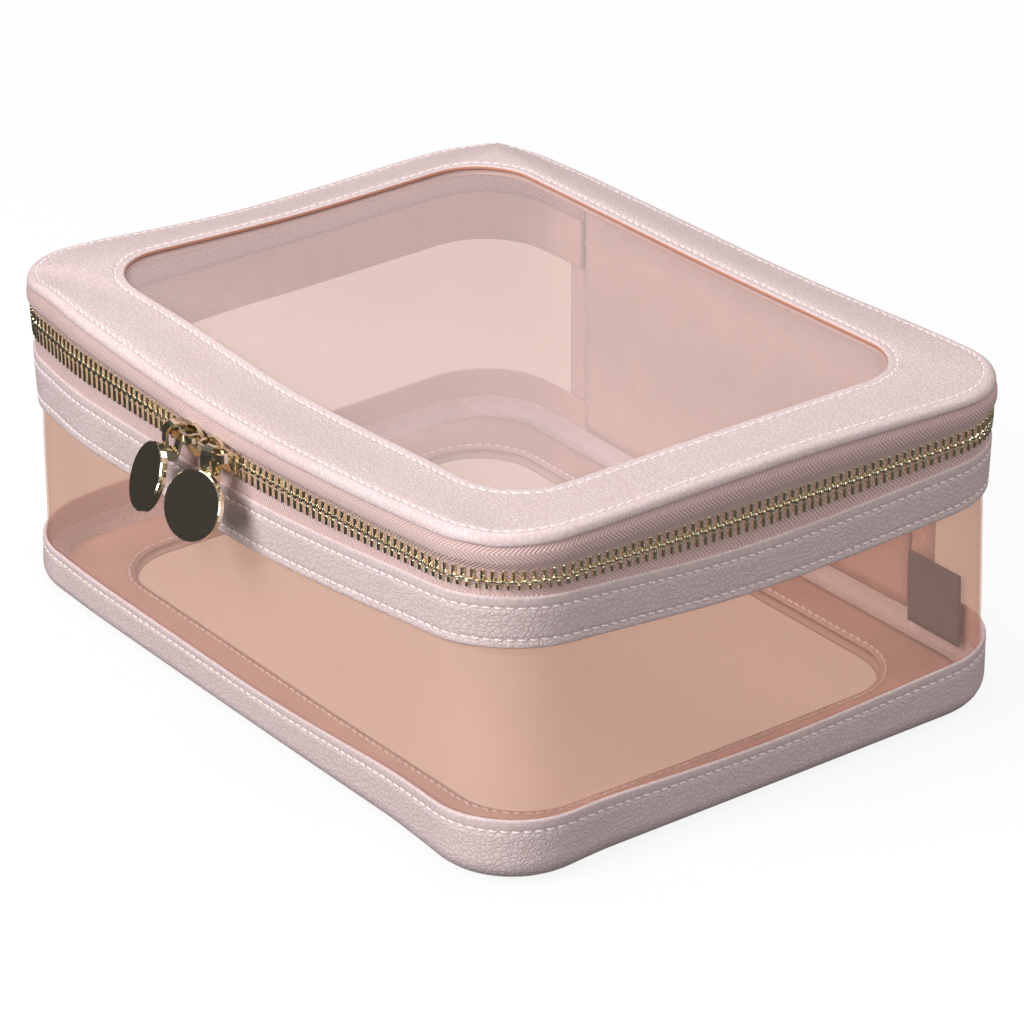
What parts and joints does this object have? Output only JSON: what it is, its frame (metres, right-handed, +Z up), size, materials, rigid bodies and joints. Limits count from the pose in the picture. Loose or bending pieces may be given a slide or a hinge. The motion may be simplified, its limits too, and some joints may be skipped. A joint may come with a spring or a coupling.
{
  "type": "makeup train case",
  "caption": "Soft box-shaped makeup case with leather frames, frosted clear walls, a zipped hinged lid and two round zip pulls.",
  "frame": {"origin": "on the table, at the bottom centre of the whole object's box, with the zip pulls counted in", "axes": "+Z up, +X towards the right end, zip pulls face -Y, lid hinges at +Y"},
  "size_m": [0.25, 0.2112, 0.102],
  "materials": {
    "leather": "pebbled, pale pink, soft sheen, smooth turned edges",
    "clear_sheet": "frosted clear sheet, tinted pink",
    "zip_tape": "herringbone woven tape",
    "lining": "smooth coated cloth",
    "board": "stiff board, hidden between leather and lining",
    "zip_metal": "pale gold plate",
    "pull_metal": "mirror-polished pale gold plate",
    "label_cloth": "blank woven label, dark grey"
  },
  "bodies": {
    "case": {"back_panel": "leather", "band": "leather", "tray_band": "leather", "base_frame": "leather", "clear_wall": "clear_sheet", "base_window": "clear_sheet", "zip_tape_lower": "zip_tape", "back_panel_lining": "lining", "band_lining": "lining", "base_lining_frame": "lining", "base_stiffener": "board", "zip_teeth_lower": "zip_metal", "zip_stop_left": "zip_metal", "zip_stop_right": "zip_metal", "label": "label_cloth"},
    "lid": {"lid_frame": "leather", "lid_window": "clear_sheet", "lid_stiffener": "board", "lid_lining_frame": "lining", "zip_tape_upper": "zip_tape", "zip_teeth_upper": "zip_metal", "hinge_flap": "leather"},
    "slider_left": {"slider_left": "pull_metal", "crown_left": "pull_metal"},
    "link_left": {"link_left": "pull_metal"},
    "disc_left": {"disc_left": "pull_metal"},
    "slider_right": {"slider_right": "pull_metal", "crown_right": "pull_metal"},
    "link_right": {"link_right": "pull_metal"},
    "disc_right": {"disc_right": "pull_metal"}
  },
  "joints": [
    {"name": "lid_hinge", "type": "hinge", "parent": "case", "child": "lid", "pos_m": [0, 0.10652, 0.0876], "axis": [-1, 0, 0], "range_deg": [0, 120]},
    {"name": "slider_left_travel", "type": "hinge", "parent": "case", "child": "slider_left", "pos_m": [0, 1.47602, 0.0876], "axis": [0, 0, -1], "range_deg": [0, 2.9]},
    {"name": "link_left_swing", "type": "hinge", "parent": "slider_left", "child": "link_left", "pos_m": [-0.00953, -0.09175, 0.0898], "axis": [-0.969, 0.2469, 0], "range_deg": [-8, 100]},
    {"name": "disc_left_swing", "type": "hinge", "parent": "link_left", "child": "disc_left", "pos_m": [-0.00981, -0.09285, 0.0834], "axis": [-0.969, 0.2469, 0], "range_deg": [-25, 3]},
    {"name": "slider_right_travel", "type": "hinge", "parent": "case", "child": "slider_right", "pos_m": [0, 1.47602, 0.0876], "axis": [0, 0, 1], "range_deg": [0, 2.9]},
    {"name": "link_right_swing", "type": "hinge", "parent": "slider_right", "child": "link_right", "pos_m": [0.00953, -0.09175, 0.0898], "axis": [-0.969, -0.2469, 0], "range_deg": [-8, 100]},
    {"name": "disc_right_swing", "type": "hinge", "parent": "link_right", "child": "disc_right", "pos_m": [0.00981, -0.09285, 0.0834], "axis": [-0.969, -0.2469, 0], "range_deg": [-25, 3]}
  ]
}
